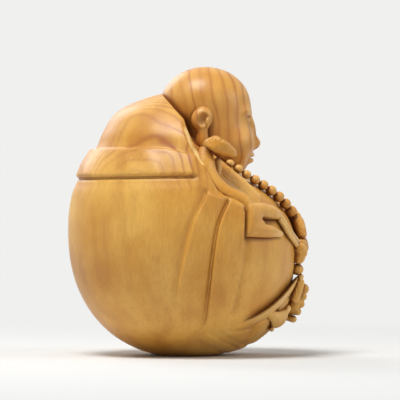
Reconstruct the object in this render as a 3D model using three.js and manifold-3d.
// A seated, pot-bellied monk figurine, carved in pale close-grained wood and held in one hand.
// Millimetres, +Z up. The figure faces -Y, its right side is -X, and the origin is the middle of
// the small flat that it rests on. Each carved member is a solid of its own, seated on the robe
// block with a thin seam. Places are written as (x, forward, z), where forward is -Y.
import * as THREE from "three";
import { mergeVertices } from "three/addons/utils/BufferGeometryUtils.js";
import Module from "manifold-3d";

const wasm = await Module();
wasm.setup();
const { Vector2, Vector3 } = THREE;

// Driving sizes

const SEAM = 0.3; // between two members
const SEAT_OPENING = 3; // how far past the surface a seat is cut
const SEAT_SLACK = 1.5; // a hollow of few facets is cut this much wider than its seam
const REACH = 60; // half the side of a cutting block, past every surface

// The egg of the robe
const ROBE_HALF_WIDTH = 24;
const ROBE_BACK = 25;
const ROBE_FRONT = 23.3;
const WIDEST_HEIGHT = 26; // height of the egg's widest level
const DOME_RISE = 29; // from the widest level to the top that the dome would have
const BASE_RADIUS = 6; // flat that the figure rests on
const BACK_SWELL = 1.05; // how far the upper back stands out over the egg
const BACK_SWELL_RISE = 23.5; // height of that swelling over the widest level
const BACK_SWELL_REACH = 2.4; // and how far it spreads
const LOW_FULLNESS = 0.22; // how much squarer than round the egg is low down, behind
const LAP_FULLNESS = 0.6; // and in front

// The chest, a slope that leans back to the neck and falls off to each side
const CHEST_LEAN = THREE.MathUtils.degToRad(37);
const CHEST_TOP = 20.58; // over the widest level, where the slope would pass the figure's middle
const CHEST_DISTANCE = (WIDEST_HEIGHT + CHEST_TOP) * Math.cos(CHEST_LEAN); // square to the slope
const CHEST_FALL = 0.014; // fall to the side, per square millimetre
const CHEST_ROUNDING = 7;
const CHEST_BACK = 4; // behind this the chest rises into the nape

// The neckline, a plane that the head stands in front of
const NECK_LEAN = THREE.MathUtils.degToRad(61.5);
const NECK_TOP = 18.22; // over the widest level, where the plane would pass the figure's middle
const NECK_DISTANCE = (WIDEST_HEIGHT + NECK_TOP) * Math.cos(NECK_LEAN); // square to the plane

// The open front of the robe, seen from the side
const OPENING_LOW_SET_BACK = 15.6; // behind the robe's front
const OPENING_LOW_FORWARD = ROBE_FRONT - OPENING_LOW_SET_BACK;
const OPENING_LOW_SHARE = 0.2423; // of the widest level's height
const OPENING_LOW_HEIGHT = OPENING_LOW_SHARE * WIDEST_HEIGHT;
const OPENING_SET_BACK = 11.8;
const OPENING_FORWARD = ROBE_FRONT - OPENING_SET_BACK;
const OPENING_DROP = 2;
const OPENING_HEIGHT = WIDEST_HEIGHT - OPENING_DROP;
const BIB_DEPTH = 4; // of the bare chest under its slope

// The fold of cloth round the shoulders
const BAND_RISE = 10.4; // over the widest level
const BAND_LOW = WIDEST_HEIGHT + BAND_RISE;
const BAND_WIDTH = 6.2;
const BAND_PROUD = 0.75;
const BAND_SEAT = 1.3; // depth that the band is let in
const BAND_END = 3.4; // how far forward the band comes

// The hanging sleeves
const SLEEVE_TOP_BACK = 3.6;
const SLEEVE_RISE = 8.6; // over the widest level
const SLEEVE_TOP = WIDEST_HEIGHT + SLEEVE_RISE;
const SLEEVE_FOOT = OPENING_LOW_HEIGHT + SEAM;
const SLEEVE_FOOT_BACK = -2.2;
const SLEEVE_PROUD = 0.65;
const SLEEVE_SEAT = 1.5;
const PLEATS = 2;
const PLEAT_GROOVE = 0.5;

// The hem under the belly
const HEM_SIDE_HEIGHT = OPENING_LOW_HEIGHT - 3 * SEAM;
const HEM_FRONT_SHARE = 0.5885; // of the widest level's height
const HEM_FRONT_HEIGHT = HEM_FRONT_SHARE * WIDEST_HEIGHT;
const HEM_RISE_POWER = 2.2;
const HEM_WIDTH = 2.1;
const HEM_PROUD = 0.55;
const HEM_SEAT = 1.6;

const BELLY_INSET = 0.7; // of the bare belly behind the robe's own surface
const NAVEL_DEPTH = 1.1;
const NAVEL_RADIUS = 1.5;

// The head
const HEAD_HEIGHT = 22.5;
const CRANIUM_RADIUS = 8.75; // from side to side
const CRANIUM_DEPTH = 9.4; // its radius from back to front
const CROWN_RADIUS = 8; // and that of its top
const HEAD_FORWARD = 3.5;
const CHIN_FORWARD = 7.3; // in front of the middle of the cranium
const CHIN_SEAT = 0.9; // how far the chin sinks into the chest
const NECK_RADIUS = 4.6;
const NECK_LENGTH = 5.5; // of the tenon under the jaw
const NECK_IN_JAW = 2.5; // and in it
const EAR_LENGTH = 9.4;
const EAR_WIDTH = 4.4;
const EAR_PROUD = 2;

// Beads
const BEAD_RADIUS_NECK = 0.75;
const BEAD_RADIUS_FRONT = 1;
const BEADS_A_SIDE = 8;
const NECKLACE_BACK = 7.5; // forward place of the last bead by the neck
const NECKLACE_SET_BACK = 2.9; // of the middle bead, behind the robe's front
const NECKLACE_FRONT = ROBE_FRONT - NECKLACE_SET_BACK;
const NECKLACE_INSET = 0.15; // of the last beads, behind the cranium's width
const NECKLACE_HALF_WIDTH = CRANIUM_RADIUS - NECKLACE_INSET;

// What the hands hold
const SHAFT_RADIUS = 1.35;
const CLOUD_LENGTH = 7.5;
const CLOUD_WIDTH = 7.4;
const CLOUD_THICKNESS = 2.6;
const CLOUD_TILT = THREE.MathUtils.degToRad(27);
const INGOT_LENGTH = 8.4;
const INGOT_HEIGHT = 3.6;
const STRAND_RADIUS = 0.45;
const KNOT_RADIUS = 1.7;
const PENDANT_RADIUS = 1.3;
const TASSEL_LENGTH = 6;
const TASSEL_RADIUS = 1.1;

const FINGER_RADIUS = 1.25;
const HAND_HALF_WIDTH = 3.5;
const FIST_HALF_WIDTH = 2.2;
const TOE_RADIUS = 0.95;
const FOOT_HALF_WIDTH = 3.3;
const TOE_PITCH = 1.7;
const FOREARM_RADIUS = 3.2;
const CUFF_RADIUS = 3;
const LAPEL_WIDTH = 4.4;
const LAPEL_PROUD = 0.8;
const LAPEL_SEAT = 1.2;
const LAPEL_BACK = 4.4;
const LAPEL_SET_BACK = 8.1; // of its front end, behind the robe's front
const LAPEL_FRONT = ROBE_FRONT - LAPEL_SET_BACK;
const LAPEL_TOP_GAP = 1.1; // of its inner edge, from the bead string's width
const LAPEL_FOOT_GAP = 2.4;

// Places on the front of the body, as (across, up): shares of the robe's half width and of its
// widest height. A digit has its places from the knuckle to the tip.
const RIGHT_PALM = [[-0.86, 1.085], [-0.82, 1.08], [-0.78, 1.078]];
const RIGHT_FINGERS = [[-0.82, 1.14], [-0.755, 1.138], [-0.69, 1.125], [-0.635, 1.105]];
const RIGHT_THUMB = [[-0.82, 1.02], [-0.75, 1.0], [-0.69, 0.985], [-0.63, 0.968]];
const LEFT_FOREARM = [[0.846, 1.1], [0.708, 1.123], [0.517, 1.131], [0.342, 1.1]];
const LEFT_CUFF = [[0.35, 1.104], [0.308, 1.092]];
const LEFT_PALM = [[0.267, 1.069], [0.175, 1.035], [0.1, 1.023]];
const LEFT_THUMB = [[0.208, 1.096], [0.133, 1.092], [0.058, 1.073]];
const LEFT_FINGER = [[0.246, 1.042], [0.233, 0.996], [0.233, 0.958]];
const LEFT_FINGER_PITCH = 1.75;
const INGOT_PLACE = [0.108, 0.862];
const SHAFT_LOW_PLACES = [[-0.74, 1.03], [-0.77, 1.1]];
const STRAND_PLACES = [[-0.6, 1.115], [-0.49, 1.07], [-0.34, 1.0], [-0.142, 0.919]];
const KNOT_PLACE = [-0.113, 0.831];
const PENDANT_PLACE = [-0.104, 0.692];
const NAVEL_PLACE = [0, 0.712];
const LEFT_FOOT = [[0.458, 0.42], [0.125, 0.458]]; // heel, ball
const RIGHT_FOOT = [[-0.46, 0.345], [-0.22, 0.305]];
const RIGHT_FOOT_SHARE = 0.7; // the foot half hidden in the robe

// Where the sceptre's shaft lies on the shoulder and rises from it, as (across, forward, rise)
const SHAFT_HIGH_PLACES = [
  [-0.817, 11.6, 0.8],
  [-0.817, 7.4, -0.3],
  [-0.79, 4.5, -0.2],
  [-0.76, 3.6, 1.7],
  [-0.717, 3.7, 4.2],
];
const SHAFT_SHARES = [1, 0.9, 0.9, 1.05, 1.3, 1.15, 1.05]; // of the shaft's radius at its places

const RIGHT = -1;
const LEFT = 1;

const ROBE_TONE = { color: 0xc9934a, roughness: 0.42, metalness: 0 };
const SKIN_TONE = { color: 0xdba75e, roughness: 0.38, metalness: 0 };

// Small maths

const place = (x, forward, z) => new Vector3(x, -forward, z);
const mix = (a, b, t) => a + (b - a) * t;
const smoothMax = (a, b, k) => {
  const h = Math.max(k - Math.abs(a - b), 0) / k;
  return Math.max(a, b) + (h * h * k) / 4;
};
const smoothMin = (a, b, k) => -smoothMax(-a, -b, k);

// Roughly the distance from p to an ellipsoid with those half-axes round c.
function ellipsoid(p, c, r) {
  const q = [(p.x - c.x) / r.x, (p.y - c.y) / r.y, (p.z - c.z) / r.z];
  const k0 = Math.hypot(...q);
  const k1 = Math.hypot(q[0] / r.x, q[1] / r.y, q[2] / r.z);
  return k1 ? (k0 * (k0 - 1)) / k1 : -Math.min(r.x, r.y, r.z);
}

// Solids and meshes

// A closed geometry as a solid. Shared vertices are merged, and an inside-out one is turned.
function solidOf(geometry) {
  const bare = new THREE.BufferGeometry();
  bare.setAttribute("position", geometry.getAttribute("position"));
  bare.setIndex(geometry.getIndex());
  const merged = mergeVertices(bare, 1e-4);
  const position = merged.getAttribute("position").array;
  const corners = [];
  for (let i = 0; i < merged.index.count; i += 3) {
    const [a, b, c] = merged.index.array.slice(i, i + 3);
    if (a !== b && b !== c && a !== c) corners.push(a, b, c);
  }
  const corner = (n) => new Vector3().fromArray(position, 3 * n);
  let volume = 0;
  for (let i = 0; i < corners.length; i += 3)
    volume += corner(corners[i]).dot(corner(corners[i + 1]).cross(corner(corners[i + 2])));
  if (volume < 0) corners.reverse();
  return new wasm.Manifold(
    new wasm.Mesh({ numProp: 3, vertProperties: position, triVerts: new Uint32Array(corners) }),
  );
}

function geometryOf(solid) {
  const mesh = solid.getMesh();
  const geometry = new THREE.BufferGeometry();
  geometry.setAttribute("position", new THREE.BufferAttribute(mesh.vertProperties, 3));
  geometry.setIndex(new THREE.BufferAttribute(mesh.triVerts, 1));
  geometry.computeVertexNormals();
  return geometry;
}

const union = (solids) => solids.reduce((whole, next) => whole.add(next));

// The solid without the chips that its cuts leave loose.
const withoutChips = (solid) =>
  solid.decompose().reduce((main, body) => (body.volume() > main.volume() ? body : main));

// How far one can go from 0 before inside(distance) turns false.
function lastInside(inside, furthest) {
  let low = 0;
  let high = furthest;
  for (let step = 0; step < 36; step++) {
    const middle = (low + high) / 2;
    if (inside(middle)) low = middle;
    else high = middle;
  }
  return low;
}

// A ball whose every vertex is moved. at gets its direction, its column's share and its row.
function reshaped(columns, rows, at) {
  const blank = new THREE.SphereGeometry(1, columns, rows).rotateX(Math.PI / 2);
  const position = blank.getAttribute("position");
  for (let i = 0; i < position.count; i++) {
    const direction = new Vector3().fromBufferAttribute(position, i).normalize();
    const row = rows - Math.floor(i / (columns + 1));
    const moved = at(direction, (i % (columns + 1)) / columns, row);
    position.setXYZ(i, moved.x, moved.y, moved.z);
  }
  return solidOf(blank);
}

// A ball whose every point is pushed along its ray from the centre until the form's field is 0.
// focus, from 0 to 1, draws the columns towards the front.
const carved = (centre, columns, rows, field, { furthest = REACH, focus = 0 } = {}) =>
  reshaped(columns, rows, (direction) => {
    const turn = Math.atan2(direction.x, -direction.y);
    const drawn = turn - focus * Math.sin(turn);
    const level = Math.hypot(direction.x, direction.y);
    const ray = place(Math.sin(drawn) * level, Math.cos(drawn) * level, direction.z);
    const along = (distance) => centre.clone().addScaledVector(ray, distance);
    return along(lastInside((distance) => field(along(distance)) < 0, furthest));
  });

// A sheet with a thickness: at(u, v, depth) gives its outer face at depth 0, its inner at depth 1.
function slab(columns, rows, at) {
  const points = [];
  const faces = [];
  const index = (i, j, depth) => (depth * (rows + 1) + j) * (columns + 1) + i;
  for (const depth of [0, 1])
    for (let j = 0; j <= rows; j++)
      for (let i = 0; i <= columns; i++) points.push(at(i / columns, j / rows, depth));
  const quad = (a, b, c, d) => faces.push(a, b, c, a, c, d);
  for (let j = 0; j < rows; j++)
    for (let i = 0; i < columns; i++) {
      quad(index(i, j, 0), index(i + 1, j, 0), index(i + 1, j + 1, 0), index(i, j + 1, 0));
      quad(index(i, j, 1), index(i, j + 1, 1), index(i + 1, j + 1, 1), index(i + 1, j, 1));
    }
  for (let i = 0; i < columns; i++) {
    quad(index(i, 0, 0), index(i, 0, 1), index(i + 1, 0, 1), index(i + 1, 0, 0));
    quad(index(i, rows, 0), index(i + 1, rows, 0), index(i + 1, rows, 1), index(i, rows, 1));
  }
  for (let j = 0; j < rows; j++) {
    quad(index(0, j, 0), index(0, j + 1, 0), index(0, j + 1, 1), index(0, j, 1));
    quad(index(columns, j, 0), index(columns, j, 1), index(columns, j + 1, 1), index(columns, j + 1, 0));
  }
  const geometry = new THREE.BufferGeometry().setFromPoints(points);
  geometry.setIndex(faces);
  return solidOf(geometry);
}

// A round-ended limb along a curve. radii are its half-widths at the points, flat its thickness
// over its width, out(point) the direction in which it is flattened, and grow an allowance.
function limb(points, radii, options = {}) {
  const { grow = 0, flat = 1, out = () => new Vector3(0, 0, 1), steps = 6, sides = 8 } = options;
  const curve = new THREE.CatmullRomCurve3(points);
  const radiusAt = (t) => {
    const s = t * (radii.length - 1);
    const i = Math.min(Math.floor(s), radii.length - 2);
    return mix(radii[i], radii[i + 1], s - i) + grow;
  };
  const rings = [];
  const capSteps = 2;
  for (let k = 1; k <= capSteps; k++) {
    const a = (k / capSteps) * (Math.PI / 2);
    rings.push({ t: 0, shift: -Math.cos(a), size: Math.sin(a) });
  }
  for (let k = 1; k < steps; k++) rings.push({ t: k / steps, shift: 0, size: 1 });
  for (let k = capSteps; k >= 1; k--) {
    const a = (k / capSteps) * (Math.PI / 2);
    rings.push({ t: 1, shift: Math.cos(a), size: Math.sin(a) });
  }
  const tip = (t, sign) =>
    curve.getPoint(t).addScaledVector(curve.getTangent(t), sign * radiusAt(t));
  const vertices = [tip(0, -1)];
  for (const { t, shift, size } of rings) {
    const centre = curve.getPoint(t);
    const along = curve.getTangent(t);
    const normal = out(centre).clone().addScaledVector(along, -out(centre).dot(along)).normalize();
    const across = along.clone().cross(normal);
    const r = radiusAt(t);
    centre.addScaledVector(along, shift * r);
    for (let s = 0; s < sides; s++) {
      const a = (2 * Math.PI * s) / sides;
      vertices.push(
        centre
          .clone()
          .addScaledVector(across, Math.cos(a) * r * size)
          .addScaledVector(normal, Math.sin(a) * size * ((r - grow) * flat + grow)),
      );
    }
  }
  vertices.push(tip(1, 1));
  const faces = [];
  const last = vertices.length - 1;
  for (let s = 0; s < sides; s++) {
    const next = (s + 1) % sides;
    faces.push(0, 1 + next, 1 + s);
    for (let k = 0; k < rings.length - 1; k++) {
      const a = 1 + k * sides;
      const b = a + sides;
      faces.push(a + s, a + next, b + next, a + s, b + next, b + s);
    }
    faces.push(last - sides + s, last - sides + next, last);
  }
  const geometry = new THREE.BufferGeometry().setFromPoints(vertices);
  geometry.setIndex(faces);
  return solidOf(geometry);
}

function ball(centre, radius, { columns = 7, rows = 5, scale = new Vector3(1, 1, 1) } = {}) {
  const geometry = new THREE.SphereGeometry(radius, columns, rows);
  geometry.rotateX(Math.PI / 2).scale(scale.x, scale.y, scale.z);
  return solidOf(geometry.translate(centre.x, centre.y, centre.z));
}

// A block through the whole figure from side to side, with its outline given as (forward, z).
function prism(outline) {
  const geometry = new THREE.ExtrudeGeometry(new THREE.Shape(outline), {
    depth: 2 * REACH,
    bevelEnabled: false,
    curveSegments: 10,
  });
  geometry.translate(0, 0, -REACH);
  geometry.applyMatrix4(
    new THREE.Matrix4().makeBasis(new Vector3(0, -1, 0), new Vector3(0, 0, 1), new Vector3(-1, 0, 0)),
  );
  return solidOf(geometry);
}

// The robe's egg

// The power of the curve below the widest place: 2 is round.
const lowPower = (frontness) => 2 + mix(LOW_FULLNESS, LAP_FULLNESS, frontness);

// Half-size of the egg at height z, from 0 to 1. frontness is 1 straight ahead and 0 at the sides.
function eggReach(z, frontness) {
  if (z >= WIDEST_HEIGHT) {
    const rise = (z - WIDEST_HEIGHT) / DOME_RISE;
    return Math.sqrt(Math.max(0, 1 - rise * rise));
  }
  const power = lowPower(frontness);
  const base = (BASE_RADIUS / ROBE_HALF_WIDTH) ** power;
  const drop = ((WIDEST_HEIGHT - z) / WIDEST_HEIGHT) ** power * (1 - base);
  return Math.max(0, 1 - drop) ** (1 / power);
}

// A point of the egg. turn is 0 in front and grows towards the figure's right side.
function eggAt(turn, z, lift = 0) {
  const ahead = Math.cos(turn);
  const reach = eggReach(z, Math.max(0, ahead) ** 2);
  const depth = ahead > 0 ? ROBE_FRONT : ROBE_BACK;
  const foot = place(-Math.sin(turn) * ROBE_HALF_WIDTH * reach, ahead * depth * reach, z);
  const tall = z > WIDEST_HEIGHT ? DOME_RISE : WIDEST_HEIGHT;
  const normal = new Vector3(
    foot.x / ROBE_HALF_WIDTH ** 2,
    foot.y / depth ** 2,
    (z - WIDEST_HEIGHT) / tall ** 2,
  ).normalize();
  return foot.addScaledVector(normal, lift);
}

// The point of the egg's flank that lies so far forward, at height z.
function flankAt(side, forward, z, lift = 0) {
  const depth = forward > 0 ? ROBE_FRONT : ROBE_BACK;
  let ahead = 0;
  for (let step = 0; step < 12; step++)
    ahead = THREE.MathUtils.clamp(forward / (depth * eggReach(z, Math.max(0, ahead) ** 2)), -1, 1);
  return eggAt(-side * Math.acos(ahead), z, lift);
}

const outOfEgg = (p) =>
  new Vector3(
    p.x / ROBE_HALF_WIDTH ** 2,
    p.y / ROBE_FRONT ** 2,
    (p.z - WIDEST_HEIGHT) / WIDEST_HEIGHT ** 2,
  ).normalize();

// Below 0 inside the egg grown by lift, and near its surface about the distance to it.
function eggField(p, lift = 0) {
  const depth = (p.y < 0 ? ROBE_FRONT : ROBE_BACK) + lift;
  const wide = Math.hypot(p.x / (ROBE_HALF_WIDTH + lift), p.y / depth);
  const above = p.z > WIDEST_HEIGHT;
  const frontness = wide > 0 ? Math.max(0, -p.y / depth / wide) ** 2 : 0;
  const power = above ? 2 : lowPower(frontness);
  const tall = Math.abs(p.z - WIDEST_HEIGHT) / ((above ? DOME_RISE : WIDEST_HEIGHT) + lift);
  const base = above ? 0 : (BASE_RADIUS / ROBE_HALF_WIDTH) ** power;
  const field = (wide ** power + tall ** power * (1 - base)) ** (1 / power) - 1;
  return Math.max(field * depth, -p.z);
}

// How far the upper back stands out over the egg, at a rise over the widest level.
function backSwell(turn, rise) {
  const away = (rise - BACK_SWELL_RISE) / BACK_SWELL_REACH;
  const behind = Math.max(0, -Math.cos(turn)) * (rise < DOME_RISE ? 1 : 0);
  return BACK_SWELL * behind * Math.exp(-away * away);
}

// The whole egg, closed below by its flat and raised by lift.
function egg(columns, rows, lift = 0) {
  return reshaped(columns, rows, (ray, share, row) => {
    if (row === 0) return place(0, 0, 0);
    const angle = (Math.PI * (row - 1)) / (rows - 1);
    const tall = angle < Math.PI / 2 ? WIDEST_HEIGHT : DOME_RISE;
    const rise = -tall * Math.cos(angle);
    const turn = 2 * Math.PI * share;
    return eggAt(turn, WIDEST_HEIGHT + rise, lift + backSwell(turn, rise));
  });
}

// The chest

const chestHeight = (x, forward) =>
  (CHEST_DISTANCE - forward * Math.sin(CHEST_LEAN) - CHEST_FALL * x * x) / Math.cos(CHEST_LEAN);

const chestField = (p) => (p.z - chestHeight(p.x, -p.y)) * Math.cos(CHEST_LEAN);

// The bare torso's surface: the egg and the chest with a round between them.
const torsoField = (p) => smoothMax(eggField(p, -BELLY_INSET), chestField(p), CHEST_ROUNDING);

function outOfTorso(p) {
  const slope = (axis) => {
    const nudge = axis.multiplyScalar(0.05);
    return torsoField(p.clone().add(nudge)) - torsoField(p.clone().sub(nudge));
  };
  return new Vector3(
    slope(new Vector3(1, 0, 0)),
    slope(new Vector3(0, 1, 0)),
    slope(new Vector3(0, 0, 1)),
  ).normalize();
}

// A point of the torso straight ahead of (x, z), raised by lift square to the surface.
function torsoAt(x, z, lift = 0) {
  const forward = lastInside((distance) => torsoField(place(x, distance, z)) < 0, 2 * ROBE_FRONT);
  const found = place(x, forward, z);
  return found.addScaledVector(outOfTorso(found), lift);
}

// A point of the torso straight above (x, forward), raised by lift square to the surface.
function torsoOver(x, forward, lift = 0) {
  const under = OPENING_HEIGHT;
  const rise = lastInside((distance) => torsoField(place(x, forward, under + distance)) < 0, REACH);
  const found = place(x, forward, under + rise);
  return found.addScaledVector(outOfTorso(found), lift);
}

// Cutting blocks, seen from the side

// Everything in front of the robe's opening, moved forward by shift.
function frontBlock(shift) {
  const corner = (forward, z) => new Vector2(forward + shift, z);
  return prism([
    corner(OPENING_LOW_FORWARD, -REACH),
    corner(REACH, -REACH),
    corner(REACH, REACH),
    corner(CHEST_BACK - shift, REACH),
    corner(CHEST_BACK, chestHeight(0, CHEST_BACK) - BIB_DEPTH + shift),
    corner(OPENING_FORWARD, chestHeight(0, OPENING_FORWARD) - BIB_DEPTH + shift),
    corner(OPENING_FORWARD, OPENING_HEIGHT),
    corner(OPENING_LOW_FORWARD, OPENING_LOW_HEIGHT),
  ]);
}

// Everything in front of the neckline and above the chest's slope.
function collarCut() {
  const forwardOf = (z) => (NECK_DISTANCE - z * Math.cos(NECK_LEAN)) / Math.sin(NECK_LEAN);
  const outline = [new Vector2(REACH, REACH), new Vector2(-REACH, REACH)];
  const steps = 16;
  for (let i = 0; i <= steps; i++) {
    const x = mix(-1.2, 1.2, i / steps) * ROBE_HALF_WIDTH;
    outline.push(new Vector2(x, -CHEST_FALL * x * x));
  }
  const length = { depth: 4 * REACH, bevelEnabled: false };
  const slope = new THREE.ExtrudeGeometry(new THREE.Shape(outline), length);
  slope.translate(0, CHEST_DISTANCE, -2 * REACH);
  slope.applyMatrix4(
    new THREE.Matrix4().makeBasis(
      new Vector3(1, 0, 0),
      place(0, Math.sin(CHEST_LEAN), Math.cos(CHEST_LEAN)),
      place(0, -Math.cos(CHEST_LEAN), Math.sin(CHEST_LEAN)),
    ),
  );
  const ahead = prism([
    new Vector2(forwardOf(-REACH), -REACH),
    new Vector2(2 * REACH, -REACH),
    new Vector2(2 * REACH, 2 * REACH),
    new Vector2(forwardOf(2 * REACH), 2 * REACH),
  ]);
  return solidOf(slope).intersect(ahead);
}

const hemHeight = (forward) => {
  const share = (forward - OPENING_LOW_FORWARD) / (ROBE_FRONT - OPENING_LOW_FORWARD);
  return mix(HEM_SIDE_HEIGHT, HEM_FRONT_HEIGHT, THREE.MathUtils.clamp(share, 0, 1.2) ** HEM_RISE_POWER);
};

// Everything above the hem's line raised by rise, or below it.
function hemBlock(rise, above) {
  const outline = [new Vector2(-REACH, above ? REACH : -REACH), new Vector2(-REACH, hemHeight(0) + rise)];
  const steps = 10;
  for (let i = 0; i <= steps; i++) {
    const forward = mix(OPENING_LOW_FORWARD, ROBE_FRONT + 3, i / steps);
    outline.push(new Vector2(forward, hemHeight(forward) + rise));
  }
  outline.push(new Vector2(REACH, hemHeight(REACH) + rise), new Vector2(REACH, above ? REACH : -REACH));
  return prism(outline);
}

// A point of the hem: turn as for the egg, rise above the hem's line.
function hemAt(turn, rise, lift) {
  let found = eggAt(turn, HEM_FRONT_HEIGHT, 0);
  for (let step = 0; step < 12; step++) found = eggAt(turn, hemHeight(-found.y) + rise, 0);
  return found.addScaledVector(outOfEgg(found), lift);
}

// Members

const members = [];
const add = (name, material, solid) => members.push({ name, material, solid: withoutChips(solid) });

// How proud a rolled edge stands, from 0 at its two rims to 1 between them.
const rolled = (v) => Math.sqrt(Math.max(0, 1 - (2 * v - 1) ** 6));

function band(grow) {
  const halfTurn = Math.acos(BAND_END / (ROBE_FRONT * eggReach(BAND_LOW, 0))) - grow / ROBE_FRONT;
  return slab(32, grow ? 1 : 3, (u, v, depth) => {
    const turn = mix(halfTurn, 2 * Math.PI - halfTurn, u);
    const z = mix(BAND_LOW - grow, BAND_LOW + BAND_WIDTH + grow, v);
    const proud = grow ? SEAT_OPENING : mix(BAND_PROUD, BAND_PROUD * 0.6, v) * rolled(v);
    return eggAt(turn, z, depth ? -BAND_SEAT - grow : proud);
  });
}

// u runs from the sleeve's back edge to its front edge, v from its top down to its foot.
function sleevePlace(u, v) {
  const z = mix(SLEEVE_TOP - 2 * u, SLEEVE_FOOT, v);
  const back = mix(SLEEVE_TOP_BACK, SLEEVE_FOOT_BACK, 1 - Math.max(0, 1 - v) ** 1.4);
  const fall = Math.max(0, OPENING_HEIGHT - z) / (OPENING_HEIGHT - OPENING_LOW_HEIGHT);
  const front = mix(OPENING_FORWARD, OPENING_LOW_FORWARD, fall);
  return [mix(back, front, u), z];
}

function sleeve(side, grow) {
  const pleat = (u, v) => {
    const across = (u * PLEATS) % 1;
    const groove = across < 0.02 && u > 0 && u < 1 ? PLEAT_GROOVE : 0;
    return SLEEVE_PROUD * (1 - 0.85 * across ** 1.5) * Math.min(1, 0.2 + 8 * v) - groove;
  };
  return slab(grow ? 6 : 12, grow ? 5 : 7, (u, v, depth) => {
    const width = OPENING_FORWARD - SLEEVE_TOP_BACK;
    const wide = grow ? mix(-grow / width, 1.3, u) : u;
    const long = grow ? mix(-grow, SLEEVE_TOP - SLEEVE_FOOT + grow, v) / (SLEEVE_TOP - SLEEVE_FOOT) : v;
    const [forward, z] = sleevePlace(wide, long);
    return flankAt(side, forward, z, depth ? -SLEEVE_SEAT - grow : grow ? SEAT_OPENING : pleat(u, v));
  });
}

// The rolled front edge of the robe, from beside the neck down to the sleeve.
function lapel(side, grow) {
  return slab(4, 8, (u, v, depth) => {
    const forward = mix(LAPEL_BACK - grow, LAPEL_FRONT + grow, v);
    const inner = NECKLACE_HALF_WIDTH + mix(LAPEL_TOP_GAP, LAPEL_FOOT_GAP, v ** 1.3);
    const x = side * (inner + (LAPEL_WIDTH + 2 * grow) * u - grow);
    const roll = LAPEL_PROUD * mix(1, 0.3, u) * (u > 0 ? 1 : 0.5);
    return torsoOver(x, forward, depth ? -LAPEL_SEAT - grow : grow ? SEAT_OPENING : roll);
  });
}

// The head, round the middle of the cranium

const chinHeight = chestHeight(0, HEAD_FORWARD + CHIN_FORWARD) - CHIN_SEAT;
const craniumHeight = chinHeight + HEAD_HEIGHT - CRANIUM_RADIUS;
const inHead = (x, forward, up) => place(x, HEAD_FORWARD + forward, craniumHeight + up);
const chinUp = CRANIUM_RADIUS - HEAD_HEIGHT;

// Heights on the face by the drawing-book rule: eyes halfway, nose halfway again, then the mouth.
const eyesUp = mix(chinUp, CRANIUM_RADIUS, 0.5);
const noseUp = mix(chinUp, eyesUp, 0.5);
const mouthUp = mix(chinUp, noseUp, 0.64);
const browUp = eyesUp + 0.22 * CRANIUM_RADIUS;

// The forms of the head, in shares of the cranium's radius: across, forward and up from a level,
// half-sizes, and the fillet that joins the form to what is already there.
function headField(p, lift = 0) {
  const R = CRANIUM_RADIUS;
  const oneForm = (x, forward, z, half) =>
    ellipsoid(p, inHead(x * R, forward * R, z), new Vector3(...half).multiplyScalar(R));
  const form = (z, [x, forward, up], half) => {
    const near = oneForm(x, forward, z + up * R, half);
    return x ? Math.min(near, oneForm(-x, forward, z + up * R, half)) : near;
  };
  const deep = CRANIUM_DEPTH / R;
  const crown = CROWN_RADIUS / R;
  const chinForward = CHIN_FORWARD / R;
  let d = form(0, [0, 0.015, 1 - crown], [1, deep, crown]);
  const add = (fillet, other) => (d = smoothMin(d, other, fillet * R));
  add(0.34, form(mix(chinUp, 0, 0.55), [0, deep - 0.74, 0], [0.93, 0.84, 0.92])); // jaw
  add(0.34, form(chinUp, [0, chinForward - 0.25, 0.34], [0.37, 0.34, 0.34])); // chin
  add(0.23, form(noseUp, [0.48, deep - 0.27, 0.08], [0.35, 0.33, 0.33])); // cheeks
  add(0.14, form(browUp, [0.32, deep - 0.13, 0], [0.27, 0.11, 0.08])); // brows
  d = smoothMax(d, -form(eyesUp, [0.35, deep + 0.09, 0], [0.19, 0.13, 0.11]), 0.16 * R); // sockets
  add(0.06, form(eyesUp, [0.34, deep - 0.11, -0.01], [0.18, 0.11, 0.1])); // eyelids
  add(0.13, form(mix(noseUp, eyesUp, 0.55), [0, deep - 0.02, 0], [0.12, 0.15, 0.32])); // bridge of the nose
  add(0.12, form(noseUp, [0, deep + 0.1, 0.11], [0.17, 0.15, 0.14])); // its tip
  add(0.07, form(noseUp, [0.15, deep + 0.04, 0.07], [0.09, 0.11, 0.09])); // its wings
  add(0.06, form(mouthUp, [0, deep - 0.03, 0.06], [0.28, 0.14, 0.07])); // upper lip
  add(0.06, form(mouthUp, [0, deep - 0.06, -0.07], [0.23, 0.15, 0.08])); // lower lip
  return d - lift;
}

// An ear: its shell over a long lobe, and the bowl in it.
function ear(side, grow) {
  const root = inHead(side * 0.93 * CRANIUM_RADIUS, -0.1 * CRANIUM_RADIUS, mix(noseUp, browUp, 0.5));
  const high = EAR_LENGTH / 2;
  const wide = EAR_WIDTH / 2;
  const at = (out, forward, up) => root.clone().add(place(side * out * EAR_PROUD, forward, up * high));
  const part = (p, centre, out, forward, up) =>
    ellipsoid(p, centre, new Vector3(out * EAR_PROUD, forward * wide, up * high));
  const upper = at(0.35, 0, 0.42);
  const lobe = at(0.25, 0.23 * wide, -0.5);
  const shell = carved(root, 10, 9, (p) => {
    const whole = [part(p, upper, 0.67, 1, 0.52), part(p, lobe, 0.6, 0.68, 0.52)];
    return smoothMin(...whole, 0.6 * EAR_PROUD) - grow;
  }, { furthest: EAR_LENGTH });
  if (grow) return shell;
  const bowl = new Vector3(0.37 * EAR_PROUD, 0.48 * wide, 0.28 * high);
  return shell.subtract(ball(at(0.95, 0.11 * wide, 0.4), 1, { scale: bowl }));
}

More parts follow.
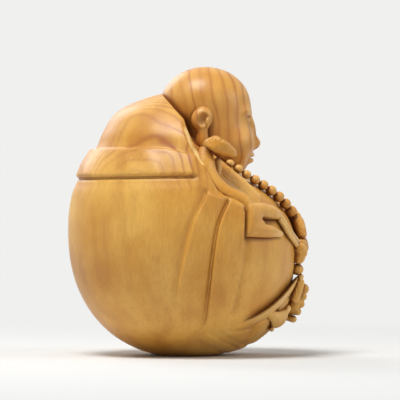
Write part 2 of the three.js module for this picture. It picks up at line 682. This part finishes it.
// The tenon that holds the head, from inside the jaw down into the robe block.
function neck(grow) {
  const radius = NECK_RADIUS + grow;
  const length = NECK_LENGTH + NECK_IN_JAW + grow;
  const tenon = new THREE.CylinderGeometry(radius, radius, length, 20).rotateX(Math.PI / 2);
  const middle = inHead(0, 0, chinUp + 2 * NECK_IN_JAW - length / 2);
  return solidOf(tenon.translate(middle.x, middle.y, middle.z));
}

function head(grow) {
  const middle = inHead(0, 0.16 * CRANIUM_RADIUS, mix(chinUp, 0, 0.68));
  if (grow) return carved(middle, 18, 14, (p) => headField(p, SEAT_SLACK * grow));
  return carved(middle, 28, 25, (p) => headField(p), { focus: 0.5 });
}

// Beads, hands and what they hold

// The bead string of one side, from the neck to the middle of the front, on the chest's slope.
function necklaceCurve(side, radius) {
  const points = [];
  const steps = 12;
  for (let i = 0; i <= steps; i++) {
    const turn = ((i / steps) * Math.PI) / 2;
    const x = side * NECKLACE_HALF_WIDTH * Math.cos(turn) ** 0.8;
    const forward = mix(NECKLACE_BACK, NECKLACE_FRONT, i / steps);
    points.push(torsoOver(x, forward, radius + SEAM));
  }
  return new THREE.CatmullRomCurve3(points);
}

// Beads that grow towards the front, with the space that is left shared out evenly among them.
function stringOfBeads(side) {
  const curve = necklaceCurve(side, BEAD_RADIUS_FRONT);
  const radius = (i) => mix(BEAD_RADIUS_NECK, BEAD_RADIUS_FRONT, i / BEADS_A_SIDE);
  let taken = BEAD_RADIUS_FRONT;
  for (let i = 0; i < BEADS_A_SIDE; i++) taken += 2 * radius(i);
  const gap = (curve.getLength() - taken) / BEADS_A_SIDE;
  const beads = [];
  let along = 0;
  for (let i = 0; i < BEADS_A_SIDE; i++) {
    along += radius(i);
    const centre = curve.getPointAt(along / curve.getLength());
    centre.addScaledVector(outOfTorso(centre), radius(i) - BEAD_RADIUS_FRONT);
    beads.push(ball(centre, radius(i)));
    along += radius(i) + gap;
  }
  return beads;
}

const torsoPlace = ([across, up], lift) => torsoAt(across * ROBE_HALF_WIDTH, up * WIDEST_HEIGHT, lift);
const onTorso = (places, lift) => places.map((share) => torsoPlace(share, lift));

// The sceptre's shaft, from inside the fist over the shoulder and up past the cheek.
function shaftPoints() {
  const free = SHAFT_HIGH_PLACES.map(([across, forward, rise]) => {
    const x = across * ROBE_HALF_WIDTH;
    return place(x, forward, chestHeight(x, forward) + rise);
  });
  return [...onTorso(SHAFT_LOW_PLACES, SHAFT_RADIUS + SEAM), ...free];
}

function shaft(grow) {
  const radii = SHAFT_SHARES.map((share) => share * SHAFT_RADIUS);
  return limb(shaftPoints(), radii, { grow, out: outOfEgg, flat: 0.85, steps: 14 });
}

// The cloud on the sceptre: a plate with three round lobes, cut at its root to clear the shaft.
function cloud() {
  const lobe = CLOUD_WIDTH / 4;
  const outline = new THREE.Shape();
  outline.moveTo(-lobe * 0.7, 0);
  outline.absarc(-lobe, CLOUD_LENGTH * 0.42, lobe, -Math.PI * 0.6, Math.PI * 0.42, true);
  outline.absarc(0, CLOUD_LENGTH - lobe * 1.15, lobe * 1.15, Math.PI * 0.95, Math.PI * 0.05, true);
  outline.absarc(lobe, CLOUD_LENGTH * 0.42, lobe, Math.PI * 0.58, -Math.PI * 0.4, true);
  outline.lineTo(lobe * 0.7, 0);
  const bevel = CLOUD_THICKNESS / 3;
  const plate = new THREE.ExtrudeGeometry(outline, {
    depth: CLOUD_THICKNESS - 2 * bevel,
    bevelThickness: bevel,
    bevelSize: bevel,
    bevelOffset: -bevel * 0.6,
    bevelSegments: 1,
    curveSegments: 5,
  });
  plate.translate(0, 0, -CLOUD_THICKNESS / 2 + bevel);
  plate.applyMatrix4(
    new THREE.Matrix4().makeBasis(
      new Vector3(1, 0, 0),
      place(0, Math.cos(CLOUD_TILT), -Math.sin(CLOUD_TILT)),
      place(0, Math.sin(CLOUD_TILT), Math.cos(CLOUD_TILT)),
    ),
  );
  const root = shaftPoints().at(-1).add(place(0, -0.2 * SHAFT_RADIUS, 1.35 * SHAFT_RADIUS));
  return solidOf(plate.translate(root.x, root.y, root.z)).subtract(shaft(SEAM));
}

// A finger or thumb that lies on the body, with its radii as shares of a finger's.
function digit(places, shares, grow) {
  const radii = shares.map((share) => share * FINGER_RADIUS);
  return limb(onTorso(places, 1.3 * radii[0]), radii, { grow, out: outOfEgg, steps: 4, sides: 8 });
}

// A hand that leaves its sleeve, its closed fingers over the shaft and its thumb below them.
function rightHand(grow) {
  const widths = [0.97, 1, 0.9].map((share) => share * HAND_HALF_WIDTH);
  const shape = { grow, flat: 0.72, out: outOfEgg, steps: 2, sides: 10 };
  const palm = limb(onTorso(RIGHT_PALM, 0.39 * HAND_HALF_WIDTH), widths, shape);
  const taper = [1.3, 1.3, 1.1, 0.6];
  return union([palm, digit(RIGHT_FINGERS, taper, grow), digit(RIGHT_THUMB, taper, grow)]);
}

// The other arm in its sleeve, its rolled cuff, and the hand closed over the top of the ingot.
function leftForearm(grow) {
  const points = onTorso(LEFT_FOREARM, 0.3);
  const radii = [0.95, 1, 0.9, 0.78].map((share) => share * FOREARM_RADIUS);
  return limb(points, radii, { grow, flat: 0.85, out: outOfEgg, steps: 6, sides: 12 });
}

function leftCuff(grow) {
  const radii = LEFT_CUFF.map(() => CUFF_RADIUS);
  return limb(onTorso(LEFT_CUFF, 0.7), radii, { grow, flat: 0.92, out: outOfEgg, steps: 2, sides: 12 });
}

function leftHand(grow) {
  const widths = [0.9, 1, 0.9].map((share) => share * FIST_HALF_WIDTH);
  const shape = { grow, flat: 0.8, out: outOfEgg, steps: 2, sides: 9 };
  const palm = limb(onTorso(LEFT_PALM, 0.55 * FIST_HALF_WIDTH), widths, shape);
  const fingers = [0, 1, 2, 3].map((i) => {
    const shift = (-LEFT_FINGER_PITCH * i) / ROBE_HALF_WIDTH;
    const places = LEFT_FINGER.map(([across, up]) => [across + shift, up]);
    return digit(places, [0.96, 0.94, 0.9], grow);
  });
  return union([palm, ...fingers, digit(LEFT_THUMB, [0.97, 0.97, 0.94], grow)]);
}

// A boat-shaped ingot: a long bowl with raised ends and a round crown in its middle.
function ingot(grow) {
  const half = INGOT_LENGTH / 2;
  const thick = INGOT_HEIGHT / 2;
  const centre = torsoPlace(INGOT_PLACE, 0.65 * thick);
  return carved(centre, 14, 8, (p) => {
    const bend = 0.55 * thick * ((p.x - centre.x) / half) ** 2;
    const q = new Vector3(p.x, p.y, p.z - bend);
    const hull = ellipsoid(q, centre, new Vector3(half, 0.95 * thick, thick));
    const middle = centre.clone().add(new Vector3(0, 0, 0.5 * thick));
    const crown = ellipsoid(q, middle, new Vector3(0.45 * half, 0.85 * thick, 0.85 * thick));
    return smoothMin(hull, crown, 0.6) - grow;
  }, { furthest: INGOT_LENGTH });
}

// One of the two cords that hang side by side from the fist; which is -1 or 1.
function strand(which, grow) {
  const offset = (which * (STRAND_RADIUS + SEAM / 2)) / Math.SQRT2;
  const points = STRAND_PLACES.map(([across, up]) =>
    torsoAt(across * ROBE_HALF_WIDTH + offset, up * WIDEST_HEIGHT + offset, STRAND_RADIUS),
  );
  return limb(points, points.map(() => STRAND_RADIUS), { grow, out: outOfEgg, steps: 6, sides: 7 });
}

// Four lumps of cord drawn together. Each has its shift from the middle and its share of the knot.
function knot(grow) {
  const lumps = [[0, 0, 1], [-0.6, 0.4, 0.7], [0.55, 0.45, 0.65], [0.25, -0.6, 0.7]];
  return union(
    lumps.map(([right, up, share]) => {
      const x = KNOT_PLACE[0] * ROBE_HALF_WIDTH + right * KNOT_RADIUS;
      const z = KNOT_PLACE[1] * WIDEST_HEIGHT + up * KNOT_RADIUS;
      return ball(torsoAt(x, z, KNOT_RADIUS * 0.45), KNOT_RADIUS * share + grow);
    }),
  );
}

const pendant = (grow) =>
  ball(torsoPlace(PENDANT_PLACE, PENDANT_RADIUS * 0.5), PENDANT_RADIUS + grow, { columns: 9, rows: 6 });

// A point of the lap's cloth, raised by lift.
function onLap([across, up], lift) {
  const at = (distance) => place(across * ROBE_HALF_WIDTH, distance, up * WIDEST_HEIGHT);
  const found = at(lastInside((distance) => eggField(at(distance)) < 0, 2 * ROBE_FRONT));
  return found.addScaledVector(outOfEgg(found), lift);
}

// A tassel under the pendant bead, over the hem and down the lap.
function tassel(grow) {
  const [across, up] = PENDANT_PLACE;
  const radii = [0.65, 0.95, 1, 0.9].map((share) => share * TASSEL_RADIUS);
  const top = up * WIDEST_HEIGHT - PENDANT_RADIUS - SEAM - radii[0];
  const drop = TASSEL_LENGTH - radii[0] - radii.at(-1);
  const points = [0, 0.25, 0.6, 1].map((share) =>
    onLap([across, (top - share * drop) / WIDEST_HEIGHT], TASSEL_RADIUS * 0.8),
  );
  return limb(points, radii, { grow, out: outOfEgg, sides: 10 });
}

// A bare foot laid along the front of the lap, its sole outwards and its big toe on top.
function foot([heelPlace, ballPlace], share, grow) {
  const half = share * FOOT_HALF_WIDTH;
  const heel = onLap(heelPlace, 0.2 * half);
  const ballOfFoot = onLap(ballPlace, 0.3 * half);
  const middle = heel.clone().lerp(ballOfFoot, 0.5);
  const outward = outOfEgg(middle);
  middle.addScaledVector(outward, 0.2 * half);
  const widths = [0.73, 0.77, 1].map((width) => width * half);
  const pad = limb([heel, middle, ballOfFoot], widths, { grow, flat: 0.6, out: () => outward });
  const ahead = (Math.sign(ballPlace[0] - heelPlace[0]) * half) / ROBE_HALF_WIDTH;
  const toes = [0, 1, 2, 3, 4].map((i) => {
    const size = share * TOE_RADIUS * (i === 0 ? 1.25 : 1 - 0.05 * i);
    const across = ballPlace[0] + ahead * (0.8 - 0.14 * i);
    const up = ballPlace[1] + (0.97 * half - share * TOE_PITCH * i) / WIDEST_HEIGHT;
    return ball(onLap([across, up], 0.55 * half), size + grow, { columns: 7 });
  });
  return union([pad, ...toes]);
}

const leftFoot = (grow) => foot(LEFT_FOOT, 1, grow);
const rightFoot = (grow) => foot(RIGHT_FOOT, RIGHT_FOOT_SHARE, grow);

// The members, put together

function hemEnd() {
  const limit = OPENING_LOW_FORWARD + 2 * SEAM;
  return lastInside((turn) => -hemAt(turn, 0, 0).y > limit, Math.PI / 2);
}

function hemBand(grow, opening = SEAT_OPENING) {
  const end = hemEnd() + grow / ROBE_HALF_WIDTH;
  return slab(26, grow ? 1 : 3, (u, v, depth) => {
    const rise = mix(-grow, HEM_WIDTH + grow, v);
    const proud = grow ? opening : HEM_PROUD * rolled(v);
    return hemAt(mix(-end, end, u), rise, depth ? -HEM_SEAT - grow : proud);
  });
}

const wholeHead = (grow) => union([head(grow), ear(RIGHT, grow), ear(LEFT, grow), neck(grow)]);
const wholeEgg = (lift) => egg(36, 17, lift);
const wholeTorso = (lift) => carved(place(0, 8, 22), 34, 22, (p) => torsoField(p) - lift);

// What lies under the hands, the feet and the tassel, grown by the seam.
function groundOf(ahead) {
  const skirt = wholeEgg(SEAM).intersect(hemBlock(HEM_WIDTH / 2, false));
  const base = union([wholeTorso(SEAM), skirt, hemBand(SEAM, HEM_PROUD + SEAM)]);
  return (solid) => solid.intersect(ahead).subtract(base);
}

function build() {
  const seats = (...solids) => union(solids.flat());
  const strands = [strand(-1, SEAM), strand(1, SEAM)];
  const lapels = [lapel(RIGHT, SEAM), lapel(LEFT, SEAM)];
  const headSeat = wholeHead(SEAM);
  const shaftSeat = shaft(SEAM);
  const ahead = frontBlock(SEAM);
  const onGround = groundOf(ahead);

  const robeCuts = seats(collarCut(), frontBlock(0), band(SEAM), sleeve(RIGHT, SEAM), sleeve(LEFT, SEAM));
  add("robe_block", ROBE_TONE, wholeEgg(0).subtract(robeCuts).subtract(seats(headSeat, lapels, shaftSeat)));
  add("shoulder_band", ROBE_TONE, band(0).subtract(shaftSeat));
  add("right_sleeve", ROBE_TONE, sleeve(RIGHT, 0).subtract(shaftSeat));
  add("left_sleeve", ROBE_TONE, sleeve(LEFT, 0));
  add("right_lapel", ROBE_TONE, lapel(RIGHT, 0).subtract(seats(headSeat, shaftSeat)));
  add("left_lapel", ROBE_TONE, lapel(LEFT, 0).subtract(headSeat));

  const dimple = new Vector3(1, NAVEL_DEPTH / NAVEL_RADIUS, 1);
  const navel = ball(torsoPlace(NAVEL_PLACE, 0), NAVEL_RADIUS, { scale: dimple });
  const bare = wholeTorso(0).intersect(ahead).intersect(hemBlock(HEM_WIDTH / 2, true));
  add("torso", SKIN_TONE, bare.subtract(seats(headSeat, lapels, shaftSeat, navel, hemBand(SEAM))));
  const lap = wholeEgg(0).intersect(ahead).intersect(hemBlock(HEM_WIDTH / 2 - SEAM, false));
  add("lap_cloth", ROBE_TONE, lap.subtract(hemBand(SEAM)));
  add("hem_band", ROBE_TONE, hemBand(0));

  add("head", SKIN_TONE, wholeHead(0));
  const handCuts = seats(shaftSeat, strands, lapels);
  add("right_hand", SKIN_TONE, onGround(rightHand(0)).subtract(handCuts));
  add("left_forearm", ROBE_TONE, onGround(leftForearm(0)).subtract(seats(leftCuff(SEAM), lapels)));
  add("left_cuff", ROBE_TONE, onGround(leftCuff(0)).subtract(leftHand(SEAM)));
  add("left_hand", SKIN_TONE, onGround(leftHand(0)).subtract(ingot(SEAM)));
  add("ingot", SKIN_TONE, onGround(ingot(0)));

  add("sceptre_shaft", SKIN_TONE, shaft(0));
  add("sceptre_cloud", SKIN_TONE, cloud());

  add("left_foot", SKIN_TONE, onGround(leftFoot(0)));
  add("right_foot", SKIN_TONE, onGround(rightFoot(0)).subtract(seats(leftFoot(SEAM), tassel(SEAM))));
  add("tassel", SKIN_TONE, onGround(tassel(0)).subtract(leftFoot(SEAM)));
  add("pendant_bead", SKIN_TONE, onGround(pendant(0)));
  const knotCuts = seats(ingot(SEAM), leftHand(SEAM), pendant(SEAM));
  add("strand_knot", SKIN_TONE, onGround(knot(0)).subtract(knotCuts));
  add("strand_outer", SKIN_TONE, onGround(strand(-1, 0)).subtract(seats(knot(SEAM), lapels)));
  add("strand_inner", SKIN_TONE, onGround(strand(1, 0)).subtract(seats(knot(SEAM), leftHand(SEAM), lapels)));

  const clear = seats(headSeat, strands, rightHand(SEAM), leftHand(SEAM), leftForearm(SEAM), leftCuff(SEAM));
  const bead = (name, solid) => add(name, SKIN_TONE, solid.subtract(clear));
  for (const [side, name] of [[RIGHT, "right"], [LEFT, "left"]])
    stringOfBeads(side).forEach((solid, i) => bead(`${name}_bead_${i + 1}`, solid));
  bead("middle_bead", ball(torsoOver(0, NECKLACE_FRONT, BEAD_RADIUS_FRONT + SEAM), BEAD_RADIUS_FRONT));
}

build();

const group = new THREE.Group();
for (const { name, material, solid } of members) {
  const mesh = new THREE.Mesh(geometryOf(solid), new THREE.MeshStandardMaterial(material));
  mesh.name = name;
  group.add(mesh);
}

export default group;
